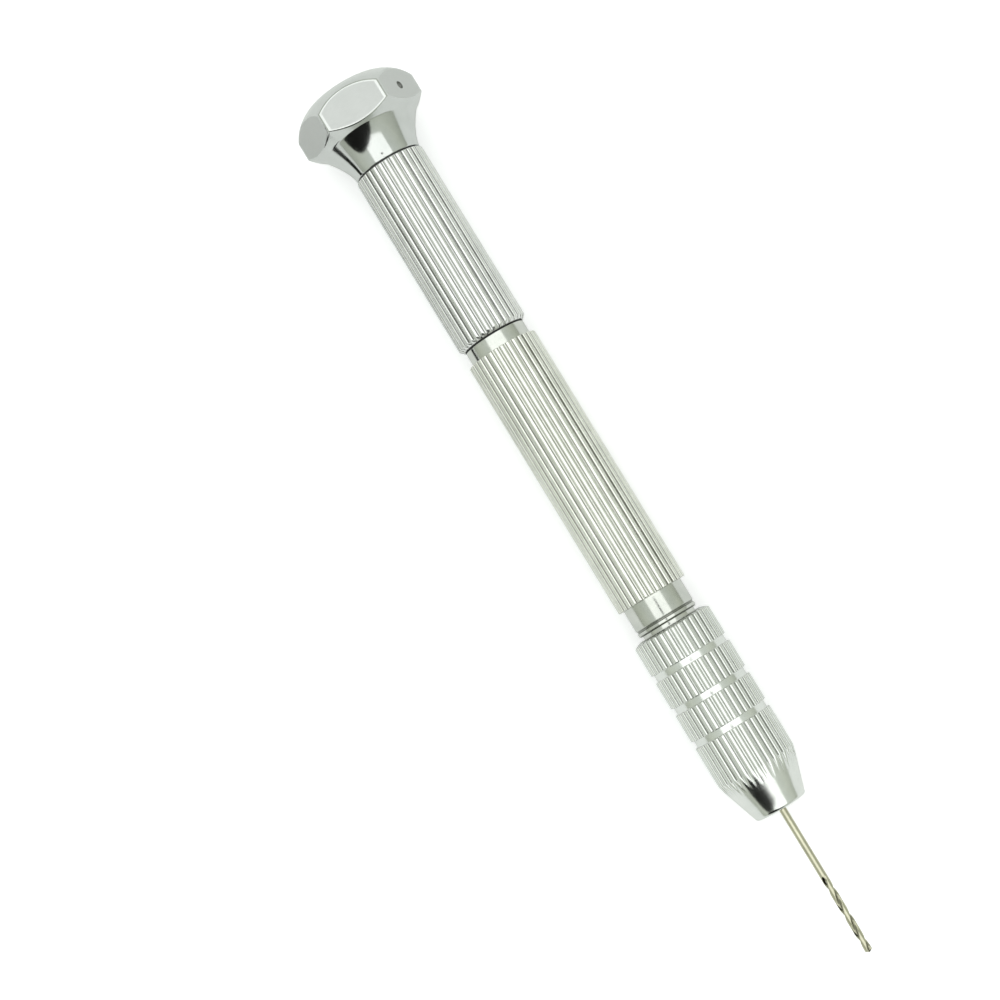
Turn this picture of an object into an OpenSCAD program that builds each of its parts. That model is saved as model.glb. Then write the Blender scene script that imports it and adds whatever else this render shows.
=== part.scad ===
// Pin vise drill: a hand twist drill with a swivelling palm rest, a hollow two-part
// handle and a keyless three-jaw chuck that holds a small twist drill.
//
// Millimetres. The tool lies along X with the drill's point towards +X and two flats of
// the palm rest facing up and down. The origin is on the axis, at the chuck's nose face,
// so every station along the tool is negative except those of the drill.

/* [Overall] */
// Length of the tool from the chuck's nose to the top of the palm rest
body_length = 99.9; // [97:0.1:105]
// Diameter of both knurled sleeves over their ridges
sleeve_d = 9.05; // [8.9:0.05:9.6]
// Diameter of the chuck nut over its ridges
nut_d = 10.1; // [10:0.05:10.6]

/* [Palm rest] */
// Distance across the flats of the palm rest
palm_flats = 13.9; // [13:0.1:15]
// Length of each of the six corner edges
palm_edge = 2.3; // [2:0.1:3.2]
// Height of the domed top above the corner edges
palm_dome = 2.92; // [2.6:0.02:3.4]
// Diameter of the foot of the palm rest, where it meets the sleeve
palm_foot_d = 8.7; // [8.2:0.1:8.8]
// Diameter of the retaining pin in one flat of the palm rest
palm_pin_d = 1.0; // [0.8:0.1:1.2]

/* [Handle] */
// Length of the upper sleeve
upper_len = 24.07; // [22:0.01:25]
// Length of the lower sleeve
lower_len = 33.98; // [32:0.01:36]
// Number of ridges round each sleeve
sleeve_ridges = 33; // [24:1:40]
// Depth of the ridges of the sleeves and the nut
ridge_depth = 0.22; // [0.1:0.02:0.26]
// Bore of the upper sleeve, which stores small drills
store_d = 6.5; // [6.4:0.1:6.8]
// Diameter of the smooth collar between the sleeves
collar_d = 7.84; // [7.6:0.02:8]
// Length of the smooth collar between the sleeves
collar_len = 1.8; // [1.4:0.05:2.4]
// Length of the thread that joins the upper sleeve to the collar
stud_len = 5.8; // [5.4:0.1:7]

/* [Chuck] */
// Length of the chuck nut without its cone
nut_grip_len = 18.77; // [18.5:0.01:20]
// Length of the nut's cone, from the nose face
nose_len = 5.65; // [5.4:0.05:6.2]
// Diameter of the nose where its cone meets the rounded lip
nose_d = 6.8; // [6.4:0.1:7]
// Number of ridges round the nut
nut_ridges = 37; // [28:1:44]
// Diameter of the three smooth grooves round the nut
groove_d = 9.46; // [9.3:0.02:9.5]
// Width of each groove
groove_w = 0.82; // [0.6:0.01:1]
// Distance between the centres of neighbouring grooves
groove_pitch = 4.46; // [4.3:0.02:4.6]
// Diameter of the smooth neck behind the nut
neck_d = 7.74; // [7.6:0.02:7.8]
// Visible length of the smooth neck
neck_len = 3.66; // [3.2:0.01:4]
// Diameter of the spindle's thread
thread_d = 7.5; // [7.4:0.02:7.56]
// Widest drill that the nose lets through
nose_hole_d = 3.4; // [3.3:0.1:3.5]
// Angle between the tool's axis and the cone inside the nut
cone_angle = 16; // [15:0.5:17]

/* [Drill] */
// Diameter of the drill held in the chuck
drill_d = 0.9; // [0.8:0.1:1.2]
// Length of the drill
drill_len = 32; // [30:0.5:34]
// Length of the drill that stands out of the nose
drill_out = 19.48; // [18:0.01:20]
// Length of the drill's flutes
flute_len = 10.54; // [8:0.01:12]
// Length of one full turn of a flute
flute_lead = 6.9; // [5:0.1:9]

/* [Hidden] */
$fn = 96;

slip = 0.05;        // radial clearance of a turning fit
seat = 0.02;        // clearance between faces that bear on each other
eps = 0.01;         // overlap between solids that are joined
cut = 1;            // how far a cutting tool runs past a face
aluminium_colour = [0.80, 0.81, 0.82];
steel_colour = [0.62, 0.62, 0.60];
rubber_colour = [0.08, 0.08, 0.08];

// Stations along X, from the nose back to the palm rest
nut_rear = -(nose_len + nut_grip_len);
nut_mouth = nut_rear - 0.35;
relief_front = nut_mouth - 0.4;
neck_front = relief_front - 0.1;
neck_rear = neck_front - neck_len;
lower_top = neck_rear - lower_len;
collar_top = lower_top - collar_len;
seal_gap = 0.14;
upper_bottom = collar_top - seal_gap;
upper_top = upper_bottom - upper_len;
foot_gap = 0.2;
foot_x = upper_top - foot_gap;
palm_top = -body_length;
edge_top = palm_top + palm_dome;
edge_bottom = edge_top + palm_edge;

// Palm rest
palm_corner_r = palm_flats / sqrt(3);
palm_mid_x = edge_top + palm_edge / 2;
flare_top = edge_bottom + 1.3;
flare_top_r = palm_corner_r - 1.6;
palm_flat_r = palm_flats / 2;
pivot_r = 1.5;
bore_bottom = palm_top + 1.0;                     // of the palm rest's blind hole
pivot_top = palm_top + 3.0;
pivot_head = 0.7;                                 // how far and how thick the pivot's head stands out
pivot_groove_r = 1.1;
pivot_groove_w = palm_pin_d + 0.2;
ball_r = 1.0;
pin_recess = 0.2;
plug_len = 3.5;

// Handle
sleeve_r = sleeve_d / 2;
root_r = sleeve_r - ridge_depth;
store_r = store_d / 2;
socket_r = 3.3;
socket_depth = 9;
passage_r = 1.75;
seal_seat_r = 3.42;
stud_r = store_r - slip;

// Chuck
nut_r = nut_d / 2;
thread_r = thread_d / 2;
nose_hole_r = nose_hole_d / 2;
throat_len = 0.8;
cone_slope = tan(cone_angle);
chamber_r = 4.0;
chamber_front = -throat_len - (chamber_r - nose_hole_r) / cone_slope;
chamber_rear = -12.9;
ring_seat = nut_rear + 0.1;
ring_r = 4.1;
spindle_front = -8.5;
spindle_rear = neck_rear - 12;
spindle_bore_r = 1.65;
spindle_socket = neck_rear - spindle_rear + seat; // depth of the spindle's hole in the sleeve
first_groove = -11.35;

// Jaws
jaw_front = -1.1;
jaw_back = spindle_front + seat;
jaw_gap = 0.03;                                   // between a jaw and the nut's cone
jaw_shoulder = -4.7;
jaw_grip = drill_d / 2 + seat;                    // distance of a jaw's tip from the axis
jaw_tip_w = 0.35;                                 // width of the flat that grips the drill
jaw_apex = jaw_grip - jaw_tip_w / 2 / tan(60);
tongue_w = 1.2;
tongue_len = 1.3;
tongue_reach = 2.5;
spring_x = -6.6;
spring_dist = 1.7;                                // of the springs' middles from the axis
spring_hole_r = 0.42;
spring_hole_depth = 0.85;
spring_wire_r = 0.07;
spring_coil_r = 0.27;
spring_turns = 5;
side_gap = 2 * jaw_apex * sin(60);

// Drill
drill_r = drill_d / 2;
drill_back = drill_out - drill_len;
flute_start = drill_out - flute_len;
point_angle = 59;                                 // half of the point's angle
point_len = drill_r / tan(point_angle);

// ---- Helpers ----

// Radius of the cone inside the nut at station x
function cone_r(x) = nose_hole_r + (-throat_len - x) * cone_slope;

// Points on a circular arc from angle a0 to angle a1
function arc(cx, cy, r, a0, a1, n = 8) =
  [for (i = [0 : n]) let (a = a0 + (a1 - a0) * i / n) [cx + r * cos(a), cy + r * sin(a)]];

// Turns a shape made along Z so that it lies along X
module along_x() rotate([0, 90, 0]) children();

// A solid of revolution from points [radius, station]
module turned(points) along_x() rotate_extrude() polygon(points);

// A plain round bar or hole from station x0 to station x1
module bar(r, x0, x1) translate([x0, 0, 0]) along_x() cylinder(r = r, h = x1 - x0);

// Outline of a straight knurl: flat-topped ridges with sharp roots between them
module knurl_outline(r, ridges, depth) {
  step = 360 / ridges;
  crest = step * 0.24;
  polygon([for (i = [0 : ridges - 1]) each [
    (r - depth) * [cos(i * step), sin(i * step)],
    r * [cos(i * step + step / 2 - crest), sin(i * step + step / 2 - crest)],
    r * [cos(i * step + step / 2 + crest), sin(i * step + step / 2 + crest)]]]);
}

// A knurled bar from x0 to x1, limited by a turned outline
module knurled(r, ridges, x0, x1, outline) {
  intersection() {
    translate([x0, 0, 0]) along_x() linear_extrude(x1 - x0) knurl_outline(r, ridges, ridge_depth);
    turned(outline);
  }
}

// ---- Palm rest ----

// How far the domed top has dropped at share k of the corner radius
function dome_drop(k) = palm_dome * (0.05 * k ^ 2 + 0.95 * k ^ 4);

// Radius of the flare under the flats at share k of its length
function flare_r(k) = palm_foot_d / 2 + (flare_top_r - palm_foot_d / 2) * (1 - k) ^ 1.6;

// Domed top, straight edge, chamfer and hollow flare, as points [radius, station]
function palm_profile() = concat(
  [for (i = [0 : 12]) let (k = i / 12) [(palm_corner_r - 0.02) * k, palm_top + dome_drop(k)]],
  [[palm_corner_r - 0.02, edge_bottom]],
  [for (i = [0 : 10]) let (k = i / 10) [flare_r(k), flare_top + (foot_x - flare_top) * k]],
  [[0, foot_x]]);

module palm_head() {
  color(aluminium_colour)
  difference() {
    intersection() {
      turned(palm_profile());
      translate([palm_top - cut, 0, 0]) along_x() rotate([0, 0, 30])
        cylinder(r = palm_corner_r, h = foot_x - palm_top + 2 * cut, $fn = 6);
    }
    bar(pivot_r + slip, bore_bottom, foot_x + cut);
    rotate([-60, 0, 0]) translate([palm_mid_x, 0, 0])
      cylinder(r = palm_pin_d / 2 + eps, h = palm_flat_r + cut);
  }
}

// Pin driven in from one flat; its tip rides in the groove of the pivot
module retaining_pin() {
  color(steel_colour)
  rotate([-60, 0, 0])
    translate([palm_mid_x, 0, pivot_groove_r + slip])
      cylinder(r = palm_pin_d / 2, h = palm_flat_r - pin_recess - pivot_groove_r - slip);
}

// Ball between the pivot's end and the bottom of the palm rest's bore
module thrust_ball() {
  color(steel_colour)
  translate([bore_bottom + ball_r, 0, 0]) sphere(r = ball_r - seat);
}

// Thin ring in the gap between the palm rest and the sleeve
module swivel_washer() {
  color(rubber_colour)
  difference() {
    bar(root_r - 0.12, upper_top - foot_gap + seat, upper_top - seat);
    bar(pivot_r + slip, foot_x - cut, upper_top + cut);
  }
}

// Pivot fixed in the end plug, with a head inside the sleeve
module pivot_pin() {
  color(steel_colour)
  difference() {
    union() {
      bar(pivot_r, pivot_top, upper_top + plug_len + eps);
      bar(pivot_r + pivot_head, upper_top + plug_len, upper_top + plug_len + pivot_head);
    }
    difference() {
      bar(pivot_r + cut, palm_mid_x - pivot_groove_w / 2, palm_mid_x + pivot_groove_w / 2);
      bar(pivot_groove_r, palm_mid_x - pivot_groove_w, palm_mid_x + pivot_groove_w);
    }
  }
}

// ---- Handle ----

// Plug that closes the top of the upper sleeve and carries the pivot
module end_plug() {
  color(steel_colour)
  difference() {
    bar(store_r - eps, upper_top + seat, upper_top + plug_len - eps);
    bar(pivot_r + eps, upper_top - cut, upper_top + plug_len + cut);
  }
}

// Upper sleeve: knurled, hollow, threaded inside its lower end
module upper_sleeve() {
  margin = 0.12;
  chamfer = 0.5;
  color(aluminium_colour)
  difference() {
    knurled(sleeve_r, sleeve_ridges, upper_top, upper_bottom, [
      [0, upper_top], [root_r + margin / 2, upper_top], [sleeve_r + margin, upper_top + ridge_depth],
      [sleeve_r + margin, upper_bottom - chamfer - margin], [sleeve_r - chamfer, upper_bottom],
      [0, upper_bottom]]);
    bar(store_r, upper_top - cut, upper_bottom + cut);
  }
}

// Flat rubber ring that stops the upper sleeve from working loose
module seal_ring() {
  color(rubber_colour)
  difference() {
    bar(collar_d / 2 - seat, collar_top - seal_gap + seat, collar_top - seat);
    bar(seal_seat_r + seat, collar_top - seal_gap - cut, collar_top + cut);
  }
}

// Smooth collar with a threaded stud for the upper sleeve and a tail in the lower one
module joint_collar() {
  bevel = 0.3;
  color(aluminium_colour)
  turned([
    [passage_r, collar_top - seal_gap - stud_len],
    [stud_r - bevel, collar_top - seal_gap - stud_len],
    [stud_r, collar_top - seal_gap - stud_len + bevel],
    [stud_r, collar_top - seal_gap + seat],
    [seal_seat_r, collar_top - seal_gap + seat],
    [seal_seat_r, collar_top],
    [collar_d / 2 - 0.08, collar_top],
    [collar_d / 2, collar_top + 0.08],
    [collar_d / 2, lower_top],
    [socket_r - eps, lower_top],
    [socket_r - eps, lower_top + socket_depth - bevel],
    [socket_r - bevel, lower_top + socket_depth - eps],
    [passage_r, lower_top + socket_depth - eps]]);
}

// Lower sleeve: knurled, with a socket in each end and a passage between them
module lower_sleeve() {
  bevel = 0.14;
  color(aluminium_colour)
  difference() {
    knurled(sleeve_r, sleeve_ridges, lower_top, neck_rear, [
      [0, lower_top], [sleeve_r - bevel, lower_top], [sleeve_r + bevel, lower_top + 2 * bevel],
      [sleeve_r + bevel, neck_rear - 2 * bevel], [sleeve_r - bevel, neck_rear], [0, neck_rear]]);
    bar(passage_r, lower_top - cut, neck_rear + cut);
    bar(socket_r, lower_top - cut, lower_top + socket_depth);
    bar(socket_r, neck_rear - spindle_socket, neck_rear + cut);
  }
}

// ---- Chuck ----

// Spindle: tail in the lower sleeve, smooth neck, thread, and a slotted front face
module chuck_spindle() {
  bevel = 0.35;
  line_x = neck_front - 0.55;
  color(aluminium_colour)
  difference() {
    turned([
      [spindle_bore_r, spindle_rear],
      [socket_r - bevel, spindle_rear],
      [socket_r - eps, spindle_rear + bevel],
      [socket_r - eps, neck_rear],
      [neck_d / 2, neck_rear],
      [neck_d / 2, line_x - 0.3],
      [neck_d / 2 - 0.08, line_x - 0.2],
      [neck_d / 2 - 0.08, line_x],
      [neck_d / 2, line_x + 0.1],
      [neck_d / 2, neck_front - 0.06],
      [neck_d / 2 - 0.06, neck_front],
      [thread_r - 0.3, neck_front],
      [thread_r - 0.3, nut_mouth - 0.05],
      [thread_r, nut_mouth + 0.25],
      [thread_r, spindle_front - bevel],
      [thread_r - bevel, spindle_front],
      [spindle_bore_r, spindle_front]]);
    for (turn = [0, 120, 240]) rotate([turn, 0, 0])
      translate([spindle_front - tongue_len - 0.1, -tongue_w / 2 - slip, 0])
        cube([tongue_len + cut, tongue_w + 2 * slip, thread_r + cut]);
  }
}

// Ring in the rear mouth of the nut, loose on the spindle's thread
module dust_ring() {
  color(steel_colour)
  difference() {
    bar(ring_r, nut_mouth - 0.1, ring_seat - slip);
    bar(thread_r + slip, nut_mouth - cut, nut_rear + cut);
  }
}

// Nut: knurled grip with three smooth grooves, a turned nose and a cone inside
module chuck_nut() {
  rear_r = ring_r + slip + 0.15;
  half = groove_w / 2;
  lip = 0.45;
  color(aluminium_colour)
  difference() {
    knurled(nut_r, nut_ridges, nut_mouth, 0, concat(
      [[0, nut_mouth], [rear_r, nut_mouth], [nut_r + 0.02, nut_rear]],
      [for (i = [2 : -1 : 0]) let (mid = first_groove - i * groove_pitch) each [
        [nut_r + 0.02, mid - half - 0.06], [groove_d / 2, mid - half],
        [groove_d / 2, mid + half], [nut_r + 0.02, mid + half + 0.06]]],
      [[nut_r + 0.02, -nose_len]],
      arc(nose_d / 2 - lip, -lip, lip, 10, 90, 5),
      [[0, 0]]));
    turned([[0, -throat_len], [nose_hole_r, -throat_len], [chamber_r, chamber_front],
      [chamber_r, chamber_rear], [0, chamber_rear]]);
    bar(nose_hole_r, -throat_len - eps, cut);
    bar(thread_r + slip, nut_mouth - cut, chamber_rear + eps);
    bar(ring_r + slip, nut_mouth - cut, ring_seat);
  }
}

// One jaw of the chuck, pointing up: a wedge with a conical back and a guide tongue
module jaw() {
  back_bevel = 0.15;
  jaw_r = cone_r(jaw_shoulder) - jaw_gap;
  color(steel_colour)
  difference() {
    intersection() {
      turned([[0, jaw_back], [jaw_r - back_bevel, jaw_back], [jaw_r, jaw_back + back_bevel],
        [jaw_r, jaw_shoulder], [cone_r(jaw_front) - jaw_gap, jaw_front], [0, jaw_front]]);
      wedge(jaw_back - cut, jaw_front + cut);
    }
    for (side = [-1, 1]) spring_hole(side);
  }
  color(steel_colour)
  translate([jaw_back - tongue_len, -tongue_w / 2, jaw_grip + 0.2])
    cube([tongue_len + eps, tongue_w, tongue_reach - jaw_grip - 0.2]);
}

// The third of the space round the axis that one jaw fills
module wedge(x0, x1) {
  reach = 6;
  translate([x0, 0, 0]) along_x() linear_extrude(x1 - x0) polygon([
    [-jaw_grip, -jaw_tip_w / 2], [-jaw_grip, jaw_tip_w / 2],
    [-jaw_apex - reach * cos(60), reach * sin(60)], [-reach, reach * sin(60)],
    [-reach, -reach * sin(60)], [-jaw_apex - reach * cos(60), -reach * sin(60)]]);
}

// Puts a shape made along +Y on a jaw's side face, at the spring's station
module on_side(side) {
  rotate([side * 60, 0, 0]) translate([spring_x, 0, 0])
    translate([0, 0, spring_dist]) children();
}

// Blind hole in a side face of a jaw for one end of a spring
module spring_hole(side) {
  on_side(-side) rotate([side * 90, 0, 0])
    cylinder(r = spring_hole_r, h = side_gap / 2 + spring_hole_depth);
}

// Point at angle a on ring i of a spring's wire
function wire_point(i, rings, length, a) =
  let (turn = 360 * spring_turns * i / rings)
  let (r = spring_coil_r + spring_wire_r * cos(a))
  [r * cos(turn), r * sin(turn), length * i / rings + spring_wire_r * sin(a)];

// Coil spring along Z, centred on the origin
module coil(length) {
  sides = 6;
  rings = spring_turns * 12;
  points = [for (i = [0 : rings]) for (k = [0 : sides - 1])
    wire_point(i, rings, length, -k * 360 / sides)];
  walls = [for (i = [0 : rings - 1]) for (k = [0 : sides - 1])
    let (a = i * sides + k, b = i * sides + (k + 1) % sides) [a, b, b + sides, a + sides]];
  caps = [[for (k = [sides - 1 : -1 : 0]) k], [for (k = [0 : sides - 1]) rings * sides + k]];
  translate([0, 0, -length / 2]) polyhedron(points, concat(walls, caps), convexity = 10);
}

// Spring between one jaw and the next, in the blind holes of both
module jaw_spring() {
  length = side_gap + 2 * spring_hole_depth - 2 * spring_wire_r - 2 * seat;
  color(steel_colour)
  on_side(-1) rotate([90, 0, 0]) coil(length);
}

module jaw_1() jaw();
module jaw_2() rotate([120, 0, 0]) jaw();
module jaw_3() rotate([240, 0, 0]) jaw();
module jaw_spring_1() jaw_spring();
module jaw_spring_2() rotate([120, 0, 0]) jaw_spring();
module jaw_spring_3() rotate([240, 0, 0]) jaw_spring();

// ---- Drill ----

// Radius of the fluted section at angle a: two lands with a round flute between them
function flute_r(a) = drill_r * 0.985 * (1 - 0.64 * max(0, cos(2 * a)) ^ 0.8);

// Size of the section at station x, which tapers to the chisel edge over the point
function point_scale(x) = max(0.06, min(1, (drill_out - x) / point_len));

// Twisted fluted bar from inside the shank to the point
module flutes() {
  sides = 20;
  slices = 36;
  start = flute_start - 0.1;
  body = drill_out - point_len - start;
  stations = concat([for (i = [0 : slices]) start + body * i / slices],
                    [drill_out - point_len / 2, drill_out]);
  points = [for (x = stations) for (k = [0 : sides - 1])
    let (a = 360 * k / sides, turn = 360 * (x - start) / flute_lead)
    let (r = flute_r(a) * point_scale(x))
    [x, r * cos(a + turn), r * sin(a + turn)]];
  last = len(stations) - 1;
  walls = [for (i = [0 : last - 1]) for (k = [0 : sides - 1])
    let (a = i * sides + k, b = i * sides + (k + 1) % sides)
    each [[a, a + sides, b], [b, a + sides, b + sides]]];
  caps = [[for (k = [0 : sides - 1]) k], [for (k = [sides - 1 : -1 : 0]) last * sides + k]];
  polyhedron(points, concat(walls, caps), convexity = 10);
}

// Twist drill: plain shank, helical flutes and a ground point
module drill_bit() {
  color(steel_colour)
  union() {
    turned([[0, drill_back], [drill_r - 0.08, drill_back], [drill_r, drill_back + 0.08],
      [drill_r, flute_start], [0, flute_start]]);
    flutes();
  }
}

palm_head();
retaining_pin();
thrust_ball();
swivel_washer();
pivot_pin();
end_plug();
upper_sleeve();
seal_ring();
joint_collar();
lower_sleeve();
chuck_spindle();
dust_ring();
chuck_nut();
jaw_1();
jaw_2();
jaw_3();
jaw_spring_1();
jaw_spring_2();
jaw_spring_3();
drill_bit();
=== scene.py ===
import math

import bmesh
import bpy
import numpy as np
from mathutils import Matrix, Vector

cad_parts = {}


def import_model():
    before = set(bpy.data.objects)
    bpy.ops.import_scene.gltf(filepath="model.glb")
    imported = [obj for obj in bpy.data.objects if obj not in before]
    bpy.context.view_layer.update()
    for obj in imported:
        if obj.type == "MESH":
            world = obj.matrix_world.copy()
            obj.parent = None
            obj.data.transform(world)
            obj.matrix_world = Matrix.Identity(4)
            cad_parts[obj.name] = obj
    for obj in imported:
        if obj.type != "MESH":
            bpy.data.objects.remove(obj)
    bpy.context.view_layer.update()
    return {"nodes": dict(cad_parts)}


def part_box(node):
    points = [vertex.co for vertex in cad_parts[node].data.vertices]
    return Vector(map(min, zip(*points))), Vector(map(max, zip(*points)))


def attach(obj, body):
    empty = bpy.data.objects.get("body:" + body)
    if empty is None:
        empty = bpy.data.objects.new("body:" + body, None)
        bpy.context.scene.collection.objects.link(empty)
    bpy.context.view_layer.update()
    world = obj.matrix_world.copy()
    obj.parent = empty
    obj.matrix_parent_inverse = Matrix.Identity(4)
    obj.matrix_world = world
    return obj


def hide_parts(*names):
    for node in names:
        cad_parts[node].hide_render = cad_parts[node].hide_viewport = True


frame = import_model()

# The pin vise drill's looks, built around its CAD frame. Lengths are in metres.
# The tool lies along X, its drill towards +X. A turned piece is a grid of points: its
# profile runs round the section from the outside to the bore, and is swept round X.
MM = 0.001
RNG = np.random.default_rng(11)

# ---------------------------------------------------------------- sizes from the frame


def ends(node):
    """First and last station of a CAD node along X, in metres."""
    low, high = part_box(node)
    return low.x, high.x


def radius(node):
    """Largest radius of a CAD node round X."""
    low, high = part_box(node)
    return max(high.y, -low.y, high.z, -low.z)


PALM_TOP, FOOT = ends("palm_head")
UPPER_TOP, UPPER_BOTTOM = ends("upper_sleeve")
LOWER_TOP, LOWER_BOTTOM = ends("lower_sleeve")
STUD_TOP, TAIL_END = ends("joint_collar")
SPINDLE_REAR, SPINDLE_FRONT = ends("chuck_spindle")
NUT_REAR, NOSE = ends("chuck_nut")
DRILL_BACK, DRILL_TIP = ends("drill_bit")
FLAT_R = -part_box("palm_head")[0].z
SLEEVE_R = 4.525 * MM
NUT_R = 5.05 * MM
COLLAR_R = radius("joint_collar")
NECK_R = radius("chuck_spindle")
DRILL_R = radius("drill_bit")
DOME = 2.92 * MM
EDGE = 2.3 * MM
CONE_LEN = 5.65 * MM
COLLAR_LEN = 1.80 * MM
TAIL_R = 3.29 * MM
THREAD_PITCH = 0.75 * MM
THREAD_DEPTH = 0.28 * MM

# The knurls: how many ridges, where round X the first one starts, in ridges, and how deep they are
SLEEVE_RIDGES, UPPER_PHASE, LOWER_PHASE = 33, 0.10, 0.46
NUT_RIDGES, NUT_PHASE = 37, 0.30
KNURL_DEPTH = 0.20 * MM
KNURL_EDGE = 0.03 * MM
SLEEVE_FLOOR = SLEEVE_R * 0.86

# Section of a knurl's ridge, in shares of its pitch, and the height of its crown
ROOT_HALF = 0.10
FLANK = 0.12
CROWN = 0.075 * MM

# The largest angle between faces that is shaded smooth, in degrees
SHARP_CUT = 50
SHARP_TURNED = 40
SHARP_DRILL = 45

# ---------------------------------------------------------------- mesh building


def soft_min(a, b, k):
    """The smaller of a and b, with the crossing rounded over about k."""
    h = np.clip(0.5 + 0.5 * (b - a) / k, 0, 1)
    return b + (a - b) * h - k * h * (1 - h)


def fillet(points, size):
    """Rounds each inner corner of a polyline [(x, r), ...] with a short arc; keeps both ends."""
    pts = [np.array(p, float) for p in points]
    out = [pts[0]]
    for before, corner, after in zip(pts, pts[1:], pts[2:]):
        a, b = before - corner, after - corner
        la, lb = np.linalg.norm(a), np.linalg.norm(b)
        cut = min(size, la * 0.45, lb * 0.45)
        p, q = corner + a / la * cut, corner + b / lb * cut
        for t in (0, 0.25, 0.5, 0.75, 1):
            out.append((1 - t) ** 2 * p + 2 * t * (1 - t) * corner + t * t * q)
    out.append(pts[-1])
    return out


def dense(points, step, fine_step=None, fine=None):
    """Adds points to a polyline so that no stretch is longer than step, or than fine_step where
    fine(x, r) is true of its middle."""
    out = [points[0]]
    for a, b in zip(points, points[1:]):
        close = fine is not None and fine(*((np.array(a) + np.array(b)) / 2))
        n = max(1, int(math.ceil(np.linalg.norm(np.subtract(b, a)) / (fine_step if close else step))))
        for i in range(1, n + 1):
            out.append(np.array(a) + (np.array(b) - np.array(a)) * i / n)
    return np.array(out)


def swept(name, profile, angle, body, sharp, shape, mark_and_shade=None):
    """A closed solid swept round X. profile is [(x, r), ...] and starts and ends on the axis or closes
    on itself; angle is the list of directions round X, or how many even ones to take. shape(x, r, angle)
    gives the final radii, and the last function of (x, r, angle) gives the 0 to 1 that the material reads
    as the piece's marks; across the pieces these are painted shade in grooves, grime in knurls and the
    palm rest's milled flats."""
    profile = np.asarray(profile, float)
    if isinstance(angle, int):
        angle = np.linspace(0, 2 * math.pi, angle, endpoint=False)
    count = len(angle)
    x, a = np.meshgrid(profile[:, 0], angle, indexing="ij")
    base = np.repeat(profile[:, 1:2], count, axis=1)
    r = shape(x, base, a)
    poles = profile[0, 1] < 1e-9, profile[-1, 1] < 1e-9
    rows = len(profile)
    co = np.stack([x, r * np.cos(a), r * np.sin(a)], -1)
    inner = slice(1 if poles[0] else 0, rows - 1 if poles[1] else rows)
    grid = co[inner]
    n = len(grid)
    verts = [tuple(v) for v in grid.reshape(-1, 3)]
    faces = []
    last = n - 1 if any(poles) else n
    for i in range(last):
        j = (i + 1) % n
        for k in range(count):
            m = (k + 1) % count
            faces.append((i * count + k, j * count + k, j * count + m, i * count + m))
    for pole, row, station in ((0, 0, profile[0, 0]), (1, n - 1, profile[-1, 0])):
        if poles[pole]:
            verts.append((station, 0.0, 0.0))
            centre = len(verts) - 1
            for k in range(count):
                m = (k + 1) % count
                faces.append((centre, row * count + k, row * count + m))
    mesh = bpy.data.meshes.new(name)
    mesh.from_pydata(verts, [], faces)
    dark = mark_and_shade(x[inner], base[inner], a[inner]) if mark_and_shade else np.zeros(grid.shape[:2])
    dark = np.concatenate([dark.reshape(-1), np.zeros(len(verts) - n * count)])
    attribute = mesh.attributes.new("mark_and_shade", "FLOAT", "POINT")
    attribute.data.foreach_set("value", dark.astype(np.float32))
    piece = bpy.data.objects.new(name, mesh)
    bpy.context.scene.collection.objects.link(piece)
    tidy_normals(mesh, sharp)
    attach(piece, body)
    return piece


def tidy_normals(mesh, sharp):
    """Faces outwards, smooth shading, and hard edges past the angle sharp in degrees."""
    bm = bmesh.new()
    bm.from_mesh(mesh)
    bmesh.ops.recalc_face_normals(bm, faces=bm.faces)
    bm.to_mesh(mesh)
    bm.free()
    mesh.shade_smooth()
    mesh.set_sharp_from_angle(angle=math.radians(sharp))


def cut_out(piece, tool_shape, sharp):
    """Takes a closed shape out of a piece, and frees the shape."""
    tool_mesh = bpy.data.meshes.new("cutter")
    tool_shape.to_mesh(tool_mesh)
    tool_shape.free()
    tool = bpy.data.objects.new("cutter", tool_mesh)
    bpy.context.scene.collection.objects.link(tool)
    cut = piece.modifiers.new("cut", "BOOLEAN")
    cut.operation = "DIFFERENCE"
    cut.solver = "EXACT"
    cut.object = tool
    bpy.context.view_layer.update()
    done = bpy.data.meshes.new_from_object(piece.evaluated_get(bpy.context.evaluated_depsgraph_get()))
    piece.modifiers.clear()
    piece.data = done
    bpy.data.objects.remove(tool)
    done.shade_smooth()
    done.set_sharp_from_angle(angle=math.radians(sharp))


def smooth_step(low, high, value):
    """Rises smoothly from 0 at low to 1 at high."""
    t = np.clip((value - low) / (high - low), 0, 1)
    return t * t * (3 - 2 * t)


def knurl(radius_out, ridges, phase):
    """A function of the angle that gives a straight knurl's radius and its share of the way from root
    to crest: low crowned crests, steep flanks and narrow roots, each ridge slightly different."""
    lift = RNG.uniform(-0.06, 0.06, ridges)
    width = RNG.uniform(-0.012, 0.012, ridges)

    def at(angle):
        turn = (angle / (2 * math.pi) * ridges + phase) % ridges
        index = np.floor(turn).astype(int) % ridges
        across = turn - np.floor(turn)
        from_root = np.minimum(across, 1 - across)
        wave = smooth_step(ROOT_HALF + width[index], ROOT_HALF + FLANK + width[index], from_root)
        crown = ((across - 0.5) / (0.5 - ROOT_HALF - FLANK)) ** 2
        drop = KNURL_DEPTH * (1 - wave) * (1 + lift[index]) + CROWN * np.minimum(crown, 1)
        return radius_out - drop, wave
    return at


def knurl_angles(ridges, phase):
    """Directions for a knurl's grid: the same few on every ridge, close together over its flanks."""
    half = [0.0, 0.08, 0.11, 0.14, 0.17, 0.20, 0.23, 0.28, 0.36, 0.44]
    ridge = half + [0.5] + [1 - share for share in half[:0:-1]]
    return np.array([(i + share - phase) * 2 * math.pi / ridges for i in range(ridges) for share in ridge])


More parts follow.
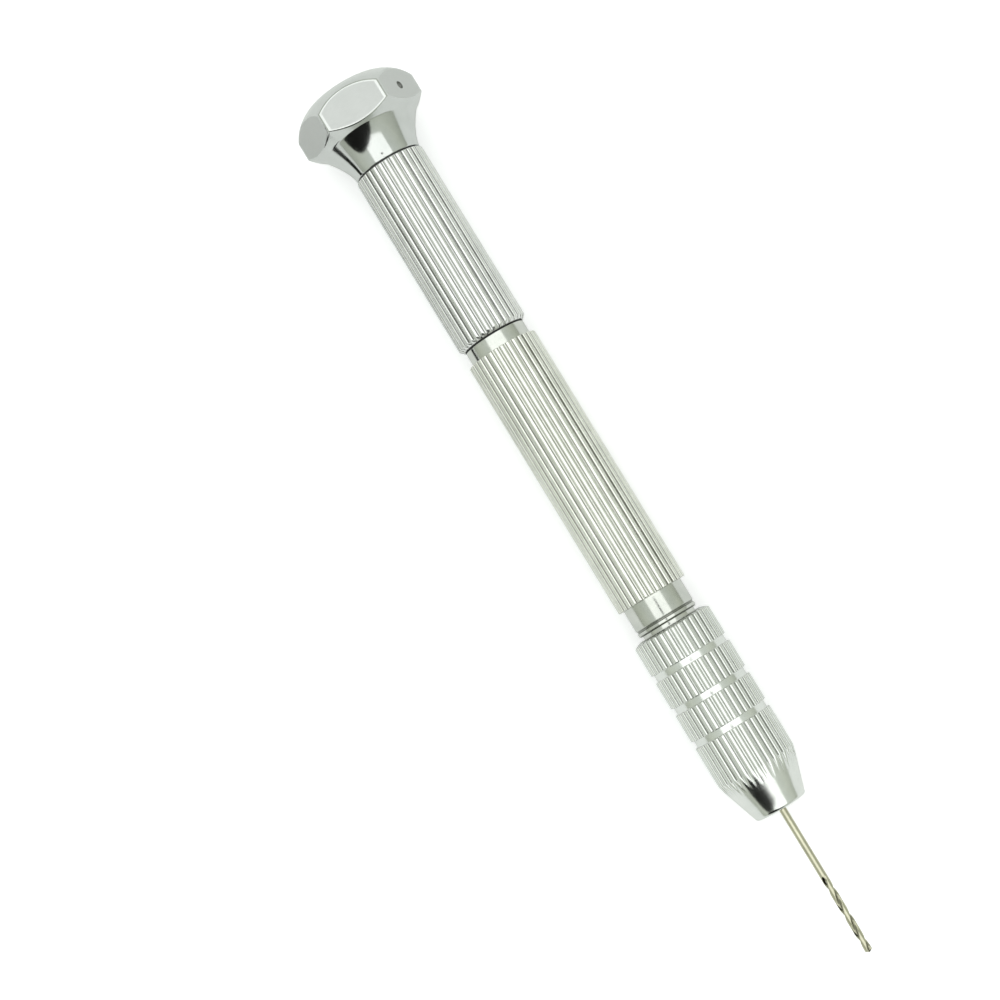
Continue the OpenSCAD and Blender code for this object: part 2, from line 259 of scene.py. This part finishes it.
def knurled_shape(profile_knurl, floor_r):
    """Cuts a turned outline down to a knurl wherever it is wider than floor_r."""
    def shape(x, r, angle):
        ridge, _ = profile_knurl(angle)
        return np.where(r > floor_r, soft_min(r, ridge, KNURL_EDGE), r)
    return shape


def knurl_grime_and_shade(profile_knurl, floor_r):
    """Darkening on the flanks of a knurl and, less, at its roots: painted shade on the steep flanks, and
    grime with painted shade in the roots.
    """
    def mark_and_shade(x, r, angle):
        _, wave = profile_knurl(angle)
        return np.where(r > floor_r, 4 * wave * (1 - wave) + 0.35 * (1 - wave) ** 2, 0.0)
    return mark_and_shade


# ---------------------------------------------------------------- materials


def nodes_of(material):
    """A material's node tree and its Principled shader."""
    material.use_nodes = True
    tree = material.node_tree
    return tree, tree.nodes["Principled BSDF"]


def add(tree, kind, **inputs):
    """A node with its sockets set, by name or as i0, i1 and so on; a value that is a socket is linked."""
    node = tree.nodes.new(kind)
    for key, value in inputs.items():
        socket = node.inputs[int(key[1:])] if key[0] == "i" and key[1:].isdigit() else node.inputs[key]
        if isinstance(value, bpy.types.NodeSocket):
            tree.links.new(value, socket)
        else:
            socket.default_value = value
    return node


def math_node(tree, operation, a, b=0.0):
    """The output of one Math node."""
    node = add(tree, "ShaderNodeMath", i0=a, i1=b)
    node.operation = operation
    return node.outputs[0]


def lathe_space(tree):
    """Coordinates that are even round the axis: station along X, radius, and nothing else."""
    where = add(tree, "ShaderNodeTexCoord").outputs["Object"]
    parts = add(tree, "ShaderNodeSeparateXYZ", i0=where)
    x, y, z = parts.outputs
    squares = math_node(tree, "ADD", math_node(tree, "MULTIPLY", y, y), math_node(tree, "MULTIPLY", z, z))
    rad = math_node(tree, "SQRT", squares)
    rings = add(tree, "ShaderNodeCombineXYZ", i0=x, i1=rad)
    return where, rings.outputs[0]


def noise(tree, where, scale, detail=3.0, roughness=0.6):
    """A noise value from 0 to 1."""
    node = add(tree, "ShaderNodeTexNoise", Vector=where, Scale=scale, Detail=detail, Roughness=roughness)
    return node.outputs["Fac"]


def ramp(tree, value, stops):
    """A colour that runs through stops [(place, (r, g, b)), ...] as value rises."""
    node = add(tree, "ShaderNodeValToRGB", Fac=value)
    elements = node.color_ramp.elements
    while len(elements) < len(stops):
        elements.new(0.5)
    for element, (place, colour) in zip(elements, stops):
        element.position = place
        element.color = (*colour, 1.0)
    return node.outputs["Color"]


def grey(v):
    """The neutral colour of one value."""
    return (v, v, v)


def metal(name, light, dark, rough, ring_bump, ring_scale=9000.0, mark_and_shade_mix=0.5, spread=0.10, satin=0.0,
          mark_and_shade_colour=None):
    """Turned or knurled metal: rings from the lathe, patchy oxide, fine scratches and painted shade in
    hollows.
    Where the piece's marks are 1, satin is the extra roughness and the mark colour, near black unless
    given, is the colour that the mix amount brings in; it paints shade, with grime on the knurls, and on
    the palm rest it is the milled flats' own colour."""
    speckle = 0.25
    material = bpy.data.materials.new(name)
    tree, shader = nodes_of(material)
    where, rings = lathe_space(tree)
    shader.inputs["Metallic"].default_value = 1.0
    patches = noise(tree, where, 420.0, 5.0)
    fine = noise(tree, where, 5200.0, 2.0)
    lines = noise(tree, rings, ring_scale, 2.0, 0.7)
    blend = math_node(tree, "ADD", math_node(tree, "MULTIPLY", patches, 1 - speckle),
                      math_node(tree, "MULTIPLY", fine, speckle))
    base = ramp(tree, blend, [(0.30, dark), (0.62, light)])
    # The piece's marks mix a second colour in here: painted shade in grooves and hollows, grime in the
    # knurls' roots, and the palm rest's milled flats.
    mark_and_shade_node = add(tree, "ShaderNodeAttribute")
    mark_and_shade_node.attribute_name = "mark_and_shade"
    mark_and_shade_amount = math_node(tree, "MULTIPLY", mark_and_shade_node.outputs["Fac"], mark_and_shade_mix)
    mix = add(tree, "ShaderNodeMix")
    mix.data_type = "RGBA"
    tree.links.new(mark_and_shade_amount, mix.inputs["Factor"])
    tree.links.new(base, mix.inputs[6])
    mix.inputs[7].default_value = (*(mark_and_shade_colour or (dark[0] * 0.28, dark[1] * 0.28, dark[2] * 0.26)), 1)
    tree.links.new(mix.outputs[2], shader.inputs["Base Color"])
    smear = ramp(tree, math_node(tree, "ADD", math_node(tree, "MULTIPLY", lines, 0.6),
                                 math_node(tree, "MULTIPLY", patches, 0.4)),
                 [(0.3, grey(max(0.03, rough - spread))), (0.7, grey(rough + spread))])
    frosted = math_node(tree, "ADD", smear, math_node(tree, "MULTIPLY", mark_and_shade_node.outputs["Fac"], satin))
    tree.links.new(frosted, shader.inputs["Roughness"])
    height = math_node(tree, "ADD", math_node(tree, "MULTIPLY", lines, 1.0),
                       math_node(tree, "MULTIPLY", fine, 0.35))
    bump = add(tree, "ShaderNodeBump", Strength=ring_bump, Distance=0.00002, Height=height)
    tree.links.new(bump.outputs[0], shader.inputs["Normal"])
    return material


def dull(name, colour, rough):
    """Rubber or nylon: near black, matt, with a fine grain and a little dust."""
    material = bpy.data.materials.new(name)
    tree, shader = nodes_of(material)
    where, _ = lathe_space(tree)
    grain = noise(tree, where, 6000.0, 3.0)
    dust = noise(tree, where, 900.0, 4.0)
    tree.links.new(ramp(tree, dust, [(0.4, colour), (0.75, tuple(c * 2.2 + 0.01 for c in colour))]),
                   shader.inputs["Base Color"])
    tree.links.new(ramp(tree, grain, [(0.3, grey(rough - 0.1)), (0.7, grey(rough + 0.1))]),
                   shader.inputs["Roughness"])
    bump = add(tree, "ShaderNodeBump", Strength=0.3, Distance=0.00002, Height=grain)
    tree.links.new(bump.outputs[0], shader.inputs["Normal"])
    return material


def coated(piece, material):
    """Gives the whole piece one material."""
    piece.data.materials.clear()
    piece.data.materials.append(material)
    return piece


# The mix amounts and second colours below paint shade and grime into the knurls, paint shade into the
# spindle's scribed line and the drill's flutes, and give the palm rest's milled flats their colour.
MATERIALS = {
    "palm": metal("palm_flats", (0.64, 0.65, 0.65), (0.57, 0.585, 0.58), 0.12, 0.06, 5000.0, mark_and_shade_mix=1.0,
                  spread=0.04, satin=0.56, mark_and_shade_colour=(0.675, 0.68, 0.69)),
    "upper": metal("upper_knurl", (0.86, 0.86, 0.865), (0.72, 0.725, 0.73), 0.24, 0.10, mark_and_shade_mix=0.72),
    "lower": metal("lower_knurl", (0.87, 0.87, 0.835), (0.73, 0.735, 0.695), 0.24, 0.10, mark_and_shade_mix=0.72),
    "nut": metal("nut_turned", (0.79, 0.80, 0.79), (0.70, 0.715, 0.70), 0.16, 0.30, mark_and_shade_mix=0.42, spread=0.05,
                 satin=0.08),
    "turned": metal("turned_bright", (0.66, 0.665, 0.64), (0.55, 0.565, 0.54), 0.15, 0.12, mark_and_shade_mix=0.8,
                    spread=0.05),
    "jaw": metal("jaw_steel", (0.46, 0.46, 0.45), (0.30, 0.30, 0.29), 0.30, 0.10),
    "steel": metal("plain_steel", (0.60, 0.60, 0.59), (0.42, 0.42, 0.41), 0.28, 0.08),
    "pin": metal("pin_steel", (0.34, 0.34, 0.33), (0.16, 0.16, 0.15), 0.38, 0.20),
    "drill": metal("drill_straw", (0.61, 0.59, 0.46), (0.45, 0.43, 0.33), 0.07, 0.12, mark_and_shade_mix=0.8,
                   spread=0.03),
    "rubber": dull("black_rubber", (0.012, 0.012, 0.012), 0.6),
    "nylon": dull("black_nylon", (0.015, 0.015, 0.016), 0.5),
}

# ---------------------------------------------------------------- palm rest


def palm_rest():
    """Six flats, a domed top and a hollow flare, as one turned outline cut by a hexagon."""
    corner = FLAT_R / math.cos(math.pi / 6) - 0.02 * MM
    foot = 4.35 * MM
    bore = 1.55 * MM
    edge_top = PALM_TOP + DOME
    edge_bottom = edge_top + EDGE
    flare_top = edge_bottom + 1.3 * MM
    flare_r = corner - 1.58 * MM
    outline = [(PALM_TOP, 0.0)]
    for k in np.concatenate([np.linspace(0.02, 0.84, 18)[:-1], np.linspace(0.84, 1, 23)]):
        outline.append((PALM_TOP + DOME * (0.05 * k ** 2 + 0.95 * k ** 4), corner * k))
    outline.append((edge_bottom, corner))
    flare_len = FOOT - 0.06 * MM - flare_top
    for k in np.linspace(0, 1, 28):
        outline.append((flare_top + flare_len * k, foot + (flare_r - foot) * (1 - k) ** 1.6))
    bottom = PALM_TOP + 1.0 * MM
    tail = [(FOOT, foot - 0.08 * MM), (FOOT, bore + 0.1 * MM), (FOOT - 0.1 * MM, bore),
            (bottom + 0.1 * MM, bore), (bottom, bore - 0.1 * MM), (bottom, 0.0)]
    profile = dense(outline + tail, 0.6 * MM, 0.09 * MM, lambda x, r: r > 0.84 * corner)

    def hexagon(angle):
        """Radius of the six flats at an angle, with the corners just rounded."""
        sector = (angle - math.pi / 2 + math.pi / 6) % (math.pi / 3) - math.pi / 6
        flat = FLAT_R / np.cos(sector)
        return soft_min(flat, np.full_like(flat, corner), 0.10 * MM)

    def shape(x, r, angle):
        """The outline cut down to the hexagon; the bore inside stays round."""
        return np.where(r > 4.4 * MM, soft_min(r, hexagon(angle), 0.12 * MM), r)

    def mark_and_shade(x, r, angle):
        """1 on the milled flats, 0 on the turned dome and flare."""
        return smooth_step(0.12 * MM, 0.20 * MM, r - hexagon(angle))

    piece = swept("palm_rest", profile, 624, "palm_rest", SHARP_CUT, shape, mark_and_shade)
    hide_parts("palm_head")
    hole = bmesh.new()
    hole_r = 0.51 * MM
    outwards = Vector((0, math.sin(math.pi / 3), math.cos(math.pi / 3)))
    mouth = Matrix.Translation(Vector((edge_top + EDGE / 2, 0, 0)) + outwards * FLAT_R)
    turn = Vector((0, 0, 1)).rotation_difference(outwards).to_matrix().to_4x4()
    bmesh.ops.create_cone(hole, cap_ends=True, segments=48, radius1=hole_r, radius2=hole_r, depth=2.4 * MM,
                          matrix=mouth @ turn)
    cut_out(piece, hole, SHARP_CUT)
    return coated(piece, MATERIALS["palm"])


# ---------------------------------------------------------------- sleeves and collar


def sleeve_profile(x0, x1, start, finish, bore, sockets=()):
    """Outline of a sleeve: start and finish are the end chamfers (axial, radial), and sockets are the
    points of the bore between its two ends."""
    crest = SLEEVE_R + 0.03 * MM
    loop = [(x0, crest - start[1]), (x0 + start[0], crest), (x1 - finish[0], crest),
            (x1, crest - finish[1]), (x1, bore), *sockets, (x0, bore)]
    return dense(fillet([loop[-1]] + loop, 0.03 * MM)[:-1], 1.2 * MM)


def upper_sleeve():
    """Hollow sleeve with a wide chamfer at its lower end."""
    grain = knurl(SLEEVE_R, SLEEVE_RIDGES, UPPER_PHASE)
    profile = sleeve_profile(UPPER_TOP, UPPER_BOTTOM, (0.12 * MM, 0.16 * MM), (0.45 * MM, 0.50 * MM),
                             3.25 * MM)
    piece = swept("upper_sleeve_knurled", profile, knurl_angles(SLEEVE_RIDGES, UPPER_PHASE),
                  "upper_handle", SHARP_CUT,
                  knurled_shape(grain, SLEEVE_FLOOR), knurl_grime_and_shade(grain, 3.5 * MM))
    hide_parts("upper_sleeve")
    return coated(piece, MATERIALS["upper"])


def lower_sleeve():
    """Sleeve with a socket for the collar at one end, one for the spindle at the other, and a passage."""
    grain = knurl(SLEEVE_R, SLEEVE_RIDGES, LOWER_PHASE)
    socket = 3.3 * MM
    passage = 1.75 * MM
    deep = LOWER_TOP + 9 * MM
    tail = SPINDLE_REAR - 0.02 * MM
    profile = sleeve_profile(LOWER_TOP, LOWER_BOTTOM, (0.10 * MM, 0.12 * MM), (0.10 * MM, 0.12 * MM),
                             socket, [(tail, socket), (tail, passage), (deep, passage), (deep, socket)])
    piece = swept("lower_sleeve_knurled", profile, knurl_angles(SLEEVE_RIDGES, LOWER_PHASE),
                  "barrel", SHARP_CUT,
                  knurled_shape(grain, SLEEVE_FLOOR), knurl_grime_and_shade(grain, 3.5 * MM))
    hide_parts("lower_sleeve")
    return coated(piece, MATERIALS["lower"])


def thread_shape(x0, x1, crest):
    """A right-hand screw thread between two stations, fading in and out at its ends."""
    def shape(x, r, angle):
        turn = (x / THREAD_PITCH - angle / (2 * math.pi)) % 1.0
        wave = np.clip(1 - np.abs(2 * turn - 1) * 1.25 + 0.12, 0, 1)
        fade = np.clip((x - x0) / THREAD_PITCH, 0, 1) * np.clip((x1 - x) / (0.6 * THREAD_PITCH), 0, 1)
        threaded = crest - THREAD_DEPTH * (1 - wave) * fade
        return np.where((x > x0) & (x < x1) & (np.abs(r - crest) < 0.02 * MM), threaded, r)
    return shape


def joint_collar():
    """Smooth collar with its threaded stud."""
    bore = 1.75 * MM
    stud = 3.2 * MM
    seat = 3.42 * MM
    collar_top = LOWER_TOP - COLLAR_LEN
    seat_top = collar_top - 0.12 * MM
    loop = [(STUD_TOP, bore), (STUD_TOP, stud - 0.3 * MM), (STUD_TOP + 0.3 * MM, stud), (seat_top, stud),
            (seat_top, seat), (collar_top, seat), (collar_top, COLLAR_R - 0.08 * MM),
            (collar_top + 0.08 * MM, COLLAR_R), (LOWER_TOP, COLLAR_R), (LOWER_TOP, TAIL_R),
            (TAIL_END, TAIL_R), (TAIL_END, bore)]
    profile = dense(fillet([loop[-1]] + loop, 0.03 * MM)[:-1], 0.6 * MM, 0.06 * MM,
                    lambda x, r: x < seat_top and r > 0.95 * stud)
    piece = swept("collar_turned", profile, 192, "barrel", SHARP_TURNED,
                  thread_shape(STUD_TOP, seat_top - 0.1 * MM, stud))
    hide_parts("joint_collar")
    return coated(piece, MATERIALS["turned"])


# ---------------------------------------------------------------- chuck


def chuck_spindle():
    """Neck with its scribed line, the thread under the nut, and the jaws' three slots in the front."""
    bore = 1.65 * MM
    neck_rear = LOWER_BOTTOM
    neck_front = neck_rear + 3.66 * MM
    line = neck_front - 0.55 * MM
    crest = 3.75 * MM
    relief = crest - 0.3 * MM
    thread_rear = NUT_REAR - 0.05 * MM
    loop = [(SPINDLE_REAR, bore), (SPINDLE_REAR, TAIL_R - 0.3 * MM), (SPINDLE_REAR + 0.3 * MM, TAIL_R),
            (neck_rear, TAIL_R), (neck_rear, NECK_R), (line - 0.32 * MM, NECK_R),
            (line - 0.12 * MM, NECK_R - 0.14 * MM), (line, NECK_R - 0.14 * MM),
            (line + 0.06 * MM, NECK_R), (neck_front - 0.20 * MM, NECK_R),
            (neck_front, NECK_R - 0.15 * MM), (neck_front, relief), (thread_rear, relief),
            (thread_rear + 0.3 * MM, crest), (SPINDLE_FRONT - 0.35 * MM, crest),
            (SPINDLE_FRONT, crest - 0.35 * MM), (SPINDLE_FRONT, bore)]
    profile = dense(fillet([loop[-1]] + loop, 0.03 * MM)[:-1], 0.6 * MM, 0.07 * MM,
                    lambda x, r: x > line - 0.5 * MM and r > 0.9 * relief)

    def mark_and_shade(x, r, angle):
        """Painted shade in the scribed line and on the bevel at the neck's end, which face the nut's
        shaded rear face.
        """
        cut = (x > neck_rear + 0.1 * MM) & (r < NECK_R - 0.03 * MM) & (r > NECK_R - 0.17 * MM)
        return np.where(cut, 1.0, 0.0)

    piece = swept("spindle_turned", profile, 192, "barrel", SHARP_TURNED,
                  thread_shape(thread_rear + 0.2 * MM, SPINDLE_FRONT - 0.2 * MM, crest), mark_and_shade)
    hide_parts("chuck_spindle")
    slots = bmesh.new()
    slot_len, slot_w, reach = 1.4 * MM, 1.3 * MM, 5 * MM
    size = Matrix.Diagonal((2 * slot_len, slot_w, reach, 1))
    place = Matrix.Translation((SPINDLE_FRONT, 0, 0.6 * reach))
    for step in range(3):
        turn = Matrix.Rotation(step * 2 * math.pi / 3, 4, "X")
        bmesh.ops.create_cube(slots, size=1, matrix=turn @ place @ size)
    cut_out(piece, slots, SHARP_TURNED)
    return coated(piece, MATERIALS["turned"])


def chuck_nut():
    """Four knurled bands between three grooves, a turned cone and a rounded lip round the hole."""
    grain = knurl(NUT_R, NUT_RIDGES, NUT_PHASE)
    crest = NUT_R + 0.03 * MM
    groove = 4.73 * MM
    half = 0.41 * MM
    first_groove = NOSE - 11.35 * MM
    groove_pitch = 4.46 * MM
    cone_start = NOSE - CONE_LEN
    nose_r = 3.40 * MM
    lip = 0.45 * MM
    hole = 1.70 * MM
    chamber = 4.0 * MM
    chamber_rear = NOSE - 12.9 * MM
    chamber_front = NOSE - 0.8 * MM - (chamber - hole) / math.tan(math.radians(16))
    ring = 4.15 * MM
    thread = 3.80 * MM
    rear = NUT_REAR + 0.35 * MM
    outer = [(NUT_REAR, ring + 0.15 * MM), (rear, crest)]
    for i in (2, 1, 0):
        middle = first_groove - groove_pitch * i
        outer += [(middle - half - 0.08 * MM, crest), (middle - half, groove), (middle + half, groove),
                  (middle + half + 0.08 * MM, crest)]
    outer += [(cone_start, crest), (NOSE - lip, nose_r)]
    outer = fillet(outer, 0.04 * MM)
    for step in range(1, 7):
        turn = math.radians(15 * step)
        outer.append((NOSE - lip + lip * math.sin(turn), nose_r - lip + lip * math.cos(turn)))
    inner = [(NOSE, hole + 0.1 * MM), (NOSE - 0.1 * MM, hole), (NOSE - 0.8 * MM, hole),
             (chamber_front, chamber), (chamber_rear, chamber), (chamber_rear, thread),
             (NUT_REAR + 0.45 * MM, thread), (NUT_REAR + 0.45 * MM, ring), (NUT_REAR, ring)]
    profile = dense(outer + inner, 1.2 * MM, 0.12 * MM, lambda x, r: x > cone_start and r > 0.88 * crest)
    piece = swept("nut_knurled", profile, knurl_angles(NUT_RIDGES, NUT_PHASE), "nut",
                  SHARP_CUT, knurled_shape(grain, 4.25 * MM), knurl_grime_and_shade(grain, NUT_R - 0.02 * MM))
    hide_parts("chuck_nut")
    return coated(piece, MATERIALS["nut"])


# ---------------------------------------------------------------- drill


def drill_bit():
    """Plain shank, two helical flutes with lands and margins, and a ground point."""
    flute_start = DRILL_TIP - 10.54 * MM
    lead = 6.9 * MM
    point = DRILL_R / math.tan(math.radians(59))
    profile = [(DRILL_BACK, 0.0), (DRILL_BACK, DRILL_R - 0.08 * MM), (DRILL_BACK + 0.08 * MM, DRILL_R),
               (flute_start, DRILL_R), (DRILL_TIP - point, DRILL_R), (DRILL_TIP, 0.0)]
    profile = dense(profile, 0.09 * MM)

    def cut_depth(x, angle):
        """From 0 on a land to 1 at the bottom of a flute."""
        turn = 2 * math.pi * (x - flute_start) / lead + math.radians(75)
        wave = np.clip(np.cos(2 * (angle - turn)), 0, 1) ** 0.7
        run_in = smooth_step(0, 1.5 * MM, x - flute_start)
        return wave * run_in

    def shape(x, r, angle):
        return r * (1 - 0.62 * cut_depth(x, angle))

    def mark_and_shade(x, r, angle):
        """Painted shade, darker towards the bottom of the flutes."""
        return cut_depth(x, angle)

    piece = swept("twist_drill", profile, 72, "bit", SHARP_DRILL, shape, mark_and_shade)
    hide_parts("drill_bit")
    return coated(piece, MATERIALS["drill"])


palm_rest()
upper_sleeve()
lower_sleeve()
joint_collar()
chuck_spindle()
chuck_nut()
drill_bit()

CARRIED = {
    "retaining_pin": "pin", "thrust_ball": "steel", "swivel_washer": "nylon", "pivot_pin": "steel",
    "end_plug": "steel", "seal_ring": "rubber", "dust_ring": "steel", "jaw_1": "jaw", "jaw_2": "jaw",
    "jaw_3": "jaw", "jaw_spring_1": "steel", "jaw_spring_2": "steel", "jaw_spring_3": "steel",
}
for node_name, key in CARRIED.items():
    coated(frame["nodes"][node_name], MATERIALS[key])

# ---------------------------------------------------------------- stage, light and camera


def plane(name, size_x, size_y, material, sides=4):
    """A flat card: a rectangle with 4 sides, or an oval with many."""
    mesh = bpy.data.meshes.new(name)
    reach = 1 / math.cos(math.pi / sides)
    turns = [(2 * k + 1) * math.pi / sides for k in range(sides)]
    corners = [(size_x / 2 * reach * math.cos(t), size_y / 2 * reach * math.sin(t), 0) for t in turns]
    mesh.from_pydata(corners, [], [tuple(range(sides))])
    obj = bpy.data.objects.new(name, mesh)
    obj.data.materials.append(material)
    bpy.context.scene.collection.objects.link(obj)
    return obj


def stage_material(name, colour):
    """Plain matt paint or paper."""
    material = bpy.data.materials.new(name)
    _, shader = nodes_of(material)
    shader.inputs["Base Color"].default_value = (*colour, 1)
    shader.inputs["Roughness"].default_value = 0.9
    shader.inputs["Specular IOR Level"].default_value = 0.0
    return material


def bench_material():
    """White paper that burns out for the camera and is a plain pale grey in reflections."""
    material = stage_material("bench_white", (0.89, 0.89, 0.905))
    tree = material.node_tree
    seen = add(tree, "ShaderNodeLightPath").outputs["Is Camera Ray"]
    glow = math_node(tree, "MULTIPLY", seen, 0.37)
    shader = tree.nodes["Principled BSDF"]
    shader.inputs["Emission Color"].default_value = (0.97, 0.95, 1, 1)
    tree.links.new(glow, shader.inputs["Emission Strength"])
    return material


def floor():
    """A pale bench: the tool rests on one flat of the palm rest and on the front of the nut."""
    back = Vector((PALM_TOP + DOME + 2.5 * MM, 0, -FLAT_R))
    front = Vector((NOSE - CONE_LEN, 0, -NUT_R))
    slope = math.atan2(front.z - back.z, front.x - back.x)
    bench = plane("bench", 12, 12, bench_material())
    bench.rotation_euler = (0, -slope, 0)
    bench.location = back
    bench.location.z -= 0.01 * MM
    return bench


def dark_card(name, place, target, width, height, value=0.008, sides=4):
    """A card that only the metal reflects, as dark as value, facing target."""
    card = plane(name, width, height, stage_material(name + "_black", grey(value)), sides)
    card.location = place
    card.rotation_euler = (Vector(target) - Vector(place)).to_track_quat("Z", "Y").to_euler()
    card.visible_camera = False
    card.visible_diffuse = False
    card.visible_shadow = False
    return card


def area(name, place, target, size_x, size_y, radiance):
    """A rectangular lamp of even radiance that faces target."""
    data = bpy.data.lights.new(name, "AREA")
    data.shape = "RECTANGLE"
    data.size, data.size_y = size_x, size_y
    data.energy = radiance * math.pi * size_x * size_y
    lamp = bpy.data.objects.new(name, data)
    lamp.location = place
    lamp.rotation_euler = (Vector(target) - Vector(place)).to_track_quat("-Z", "Y").to_euler()
    bpy.context.scene.collection.objects.link(lamp)
    return lamp


def world():
    """A warm grey room, a little darker towards the horizon, with a white backdrop for the camera."""
    scene = bpy.context.scene
    scene.world = bpy.data.worlds.new("studio")
    scene.world.use_nodes = True
    tree = scene.world.node_tree
    back = tree.nodes["Background"]
    direction = add(tree, "ShaderNodeTexCoord").outputs["Generated"]
    height = add(tree, "ShaderNodeSeparateXYZ", i0=direction).outputs[2]
    room = ramp(tree, height, [(0.0, (0.46, 0.495, 0.42)), (0.35, (0.64, 0.685, 0.585)),
                               (0.8, (0.71, 0.76, 0.69))])
    tree.links.new(room, back.inputs["Color"])
    white = add(tree, "ShaderNodeBackground", Color=(1, 1, 1, 1))
    seen = add(tree, "ShaderNodeLightPath")
    pick = add(tree, "ShaderNodeMixShader", i0=seen.outputs["Is Camera Ray"], i1=back.outputs[0],
               i2=white.outputs[0])
    tree.links.new(pick.outputs[0], tree.nodes["World Output"].inputs["Surface"])


def camera():
    """Above the grip, looking almost straight down and a little towards the palm rest and to one side."""
    place = Vector((-0.02391, 0, 0.28794))
    lean_back, lean_side, roll = math.radians(4.75), math.radians(1.8755), math.radians(58.734)
    forward = Vector((-math.tan(lean_back), -math.tan(lean_side) / math.cos(lean_back), -1)).normalized()
    along = Vector((1, 0, 0))
    along = (along - forward * along.dot(forward)).normalized()
    across = (-forward).cross(along)
    right = along * math.cos(roll) + across * math.sin(roll)
    up = across * math.cos(roll) - along * math.sin(roll)
    data = bpy.data.cameras.new("view")
    data.lens = 87.948
    data.sensor_width = 36
    data.clip_start = 0.01
    cam = bpy.data.objects.new("view", data)
    basis = Matrix((right, up, -forward)).transposed().to_4x4()
    cam.matrix_world = Matrix.Translation(place) @ basis
    bpy.context.scene.collection.objects.link(cam)
    bpy.context.scene.camera = cam


floor()
dark_card("dark_room", (0.3835, -0.1708, 0.2327), (0, 0, 0), 0.60, 0.39, sides=24)
dark_card("dark_edge", (-0.077, -0.031, -0.0035), (-0.077, 0, 0), 0.052, 0.0065)
dark_card("dark_lens", (-0.024, 0.0, 0.300), (-0.024, 0, 0), 0.035, 0.030, 0.15)
area("overhead", (0.0, 0.0, 0.62), (0.0, 0, 0), 1.30, 0.76, 0.80)
world()
camera()
bpy.context.scene.view_settings.view_transform = "Standard"
